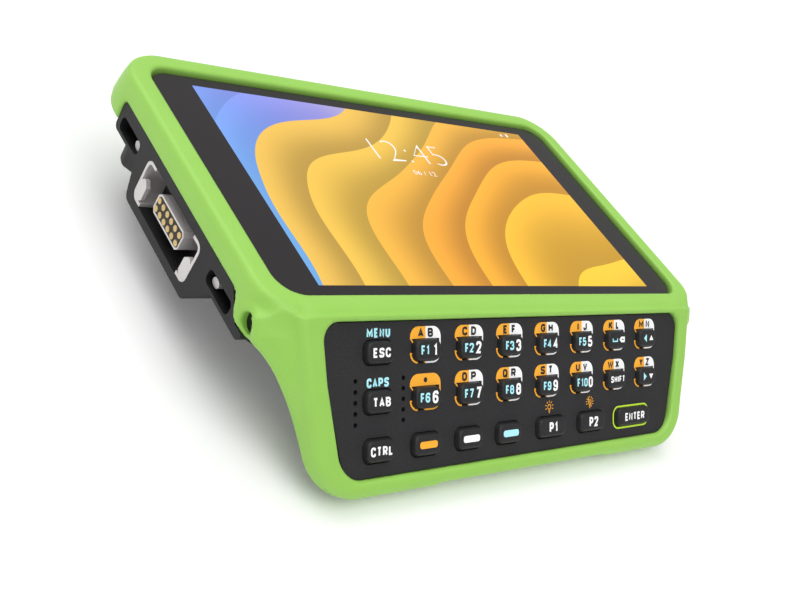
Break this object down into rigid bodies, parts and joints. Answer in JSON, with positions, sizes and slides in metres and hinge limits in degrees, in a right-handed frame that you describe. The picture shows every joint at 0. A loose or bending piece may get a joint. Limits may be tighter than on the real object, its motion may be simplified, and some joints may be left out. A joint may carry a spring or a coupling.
{
  "type": "portable barcode data terminal",
  "caption": "Wrist-worn data terminal with a level touch screen, a sloping keypad with sprung keys, docking contacts in both sides and a slide-out battery.",
  "frame": {"origin": "middle of the footprint, on the surface that the back rests on", "axes": "+Z out of the screen, +Y towards the screen's top edge, +X to the right of the screen"},
  "size_m": [0.1166, 0.0846, 0.0239],
  "materials": {
    "bumper_rubber": "soft matte, lime green",
    "cover_glass": "gloss, black printed border",
    "seal_rubber": "matte",
    "display_body": "satin",
    "cast_tray": "satin, cast",
    "circuit_board": "matte",
    "keypad_plastic": "fine textured",
    "spring_steel": "satin",
    "housing_plastic": "fine textured",
    "sounder_plastic": "matte",
    "flex_film": "satin amber",
    "battery_plastic": "fine textured",
    "gold_plate": "satin gold plate",
    "lock_plastic": "satin",
    "liner_metal": "satin",
    "contact_plastic": "satin",
    "black_screw": "satin black",
    "key_plastic": "fine textured"
  },
  "bodies": {
    "case": {"bumper": "bumper_rubber", "cover_glass": "cover_glass", "glass_gasket": "seal_rubber", "display_module": "display_body", "chassis": "cast_tray", "main_board": "circuit_board", "keypad_panel": "keypad_plastic", "keypad_membrane": "seal_rubber", "dome_contacts": "spring_steel", "keypad_board": "circuit_board", "keypad_cover": "housing_plastic", "speaker": "sounder_plastic", "microphone": "sounder_plastic", "keypad_flex": "flex_film", "rear_housing": "housing_plastic", "battery_pins": "gold_plate", "dock_liner_left": "liner_metal", "dock_liner_right": "liner_metal", "contact_collar_left": "liner_metal", "contact_collar_right": "liner_metal", "contact_block_left": "contact_plastic", "contact_block_right": "contact_plastic", "contact_pins_left": "gold_plate", "contact_pins_right": "gold_plate", "strap_posts": "liner_metal", "side_screws": "black_screw", "rear_screws": "black_screw", "vibration_motor": "spring_steel"},
    "battery": {"battery_pack": "battery_plastic", "battery_pads": "gold_plate"},
    "lock_left": {"battery_lock_left": "lock_plastic"},
    "lock_right": {"battery_lock_right": "lock_plastic"},
    "key_esc": {"key_esc": "key_plastic"},
    "key_tab": {"key_tab": "key_plastic"},
    "key_ctrl": {"key_ctrl": "key_plastic"},
    "key_1": {"key_1": "key_plastic"},
    "key_2": {"key_2": "key_plastic"},
    "key_3": {"key_3": "key_plastic"},
    "key_4": {"key_4": "key_plastic"},
    "key_5": {"key_5": "key_plastic"},
    "key_space": {"key_space": "key_plastic"},
    "key_left_up": {"key_left_up": "key_plastic"},
    "key_6": {"key_6": "key_plastic"},
    "key_7": {"key_7": "key_plastic"},
    "key_8": {"key_8": "key_plastic"},
    "key_9": {"key_9": "key_plastic"},
    "key_0": {"key_0": "key_plastic"},
    "key_shift": {"key_shift": "key_plastic"},
    "key_right_down": {"key_right_down": "key_plastic"},
    "key_orange": {"key_orange": "key_plastic"},
    "key_white": {"key_white": "key_plastic"},
    "key_cyan": {"key_cyan": "key_plastic"},
    "key_p1": {"key_p1": "key_plastic"},
    "key_p2": {"key_p2": "key_plastic"},
    "key_enter": {"key_enter": "key_plastic"}
  },
  "joints": [
    {"name": "battery_slide", "type": "slide", "parent": "case", "child": "battery", "axis": [0, 1, 0], "range_m": [0, 0.045]},
    {"name": "lock_left_slide", "type": "slide", "parent": "case", "child": "lock_left", "axis": [1, 0, 0], "range_m": [0, 0.002]},
    {"name": "lock_right_slide", "type": "slide", "parent": "case", "child": "lock_right", "axis": [-1, 0, 0], "range_m": [0, 0.002]},
    {"name": "key_esc_press", "type": "slide", "parent": "case", "child": "key_esc", "axis": [0, 0.7071, -0.7071], "range_m": [0, 0.0007], "stiffness_N_per_m": 1500, "springref_m": -0.0003},
    {"name": "key_tab_press", "type": "slide", "parent": "case", "child": "key_tab", "axis": [0, 0.7071, -0.7071], "range_m": [0, 0.0007], "stiffness_N_per_m": 1500, "springref_m": -0.0003},
    {"name": "key_ctrl_press", "type": "slide", "parent": "case", "child": "key_ctrl", "axis": [0, 0.7071, -0.7071], "range_m": [0, 0.0007], "stiffness_N_per_m": 1500, "springref_m": -0.0003},
    {"name": "key_1_press", "type": "slide", "parent": "case", "child": "key_1", "axis": [0, 0.7071, -0.7071], "range_m": [0, 0.0007], "stiffness_N_per_m": 1500, "springref_m": -0.0003},
    {"name": "key_2_press", "type": "slide", "parent": "case", "child": "key_2", "axis": [0, 0.7071, -0.7071], "range_m": [0, 0.0007], "stiffness_N_per_m": 1500, "springref_m": -0.0003},
    {"name": "key_3_press", "type": "slide", "parent": "case", "child": "key_3", "axis": [0, 0.7071, -0.7071], "range_m": [0, 0.0007], "stiffness_N_per_m": 1500, "springref_m": -0.0003},
    {"name": "key_4_press", "type": "slide", "parent": "case", "child": "key_4", "axis": [0, 0.7071, -0.7071], "range_m": [0, 0.0007], "stiffness_N_per_m": 1500, "springref_m": -0.0003},
    {"name": "key_5_press", "type": "slide", "parent": "case", "child": "key_5", "axis": [0, 0.7071, -0.7071], "range_m": [0, 0.0007], "stiffness_N_per_m": 1500, "springref_m": -0.0003},
    {"name": "key_space_press", "type": "slide", "parent": "case", "child": "key_space", "axis": [0, 0.7071, -0.7071], "range_m": [0, 0.0007], "stiffness_N_per_m": 1500, "springref_m": -0.0003},
    {"name": "key_left_up_press", "type": "slide", "parent": "case", "child": "key_left_up", "axis": [0, 0.7071, -0.7071], "range_m": [0, 0.0007], "stiffness_N_per_m": 1500, "springref_m": -0.0003},
    {"name": "key_6_press", "type": "slide", "parent": "case", "child": "key_6", "axis": [0, 0.7071, -0.7071], "range_m": [0, 0.0007], "stiffness_N_per_m": 1500, "springref_m": -0.0003},
    {"name": "key_7_press", "type": "slide", "parent": "case", "child": "key_7", "axis": [0, 0.7071, -0.7071], "range_m": [0, 0.0007], "stiffness_N_per_m": 1500, "springref_m": -0.0003},
    {"name": "key_8_press", "type": "slide", "parent": "case", "child": "key_8", "axis": [0, 0.7071, -0.7071], "range_m": [0, 0.0007], "stiffness_N_per_m": 1500, "springref_m": -0.0003},
    {"name": "key_9_press", "type": "slide", "parent": "case", "child": "key_9", "axis": [0, 0.7071, -0.7071], "range_m": [0, 0.0007], "stiffness_N_per_m": 1500, "springref_m": -0.0003},
    {"name": "key_0_press", "type": "slide", "parent": "case", "child": "key_0", "axis": [0, 0.7071, -0.7071], "range_m": [0, 0.0007], "stiffness_N_per_m": 1500, "springref_m": -0.0003},
    {"name": "key_shift_press", "type": "slide", "parent": "case", "child": "key_shift", "axis": [0, 0.7071, -0.7071], "range_m": [0, 0.0007], "stiffness_N_per_m": 1500, "springref_m": -0.0003},
    {"name": "key_right_down_press", "type": "slide", "parent": "case", "child": "key_right_down", "axis": [0, 0.7071, -0.7071], "range_m": [0, 0.0007], "stiffness_N_per_m": 1500, "springref_m": -0.0003},
    {"name": "key_orange_press", "type": "slide", "parent": "case", "child": "key_orange", "axis": [0, 0.7071, -0.7071], "range_m": [0, 0.0007], "stiffness_N_per_m": 1500, "springref_m": -0.0003},
    {"name": "key_white_press", "type": "slide", "parent": "case", "child": "key_white", "axis": [0, 0.7071, -0.7071], "range_m": [0, 0.0007], "stiffness_N_per_m": 1500, "springref_m": -0.0003},
    {"name": "key_cyan_press", "type": "slide", "parent": "case", "child": "key_cyan", "axis": [0, 0.7071, -0.7071], "range_m": [0, 0.0007], "stiffness_N_per_m": 1500, "springref_m": -0.0003},
    {"name": "key_p1_press", "type": "slide", "parent": "case", "child": "key_p1", "axis": [0, 0.7071, -0.7071], "range_m": [0, 0.0007], "stiffness_N_per_m": 1500, "springref_m": -0.0003},
    {"name": "key_p2_press", "type": "slide", "parent": "case", "child": "key_p2", "axis": [0, 0.7071, -0.7071], "range_m": [0, 0.0007], "stiffness_N_per_m": 1500, "springref_m": -0.0003},
    {"name": "key_enter_press", "type": "slide", "parent": "case", "child": "key_enter", "axis": [0, 0.7071, -0.7071], "range_m": [0, 0.0007], "stiffness_N_per_m": 1500, "springref_m": -0.0003}
  ]
}
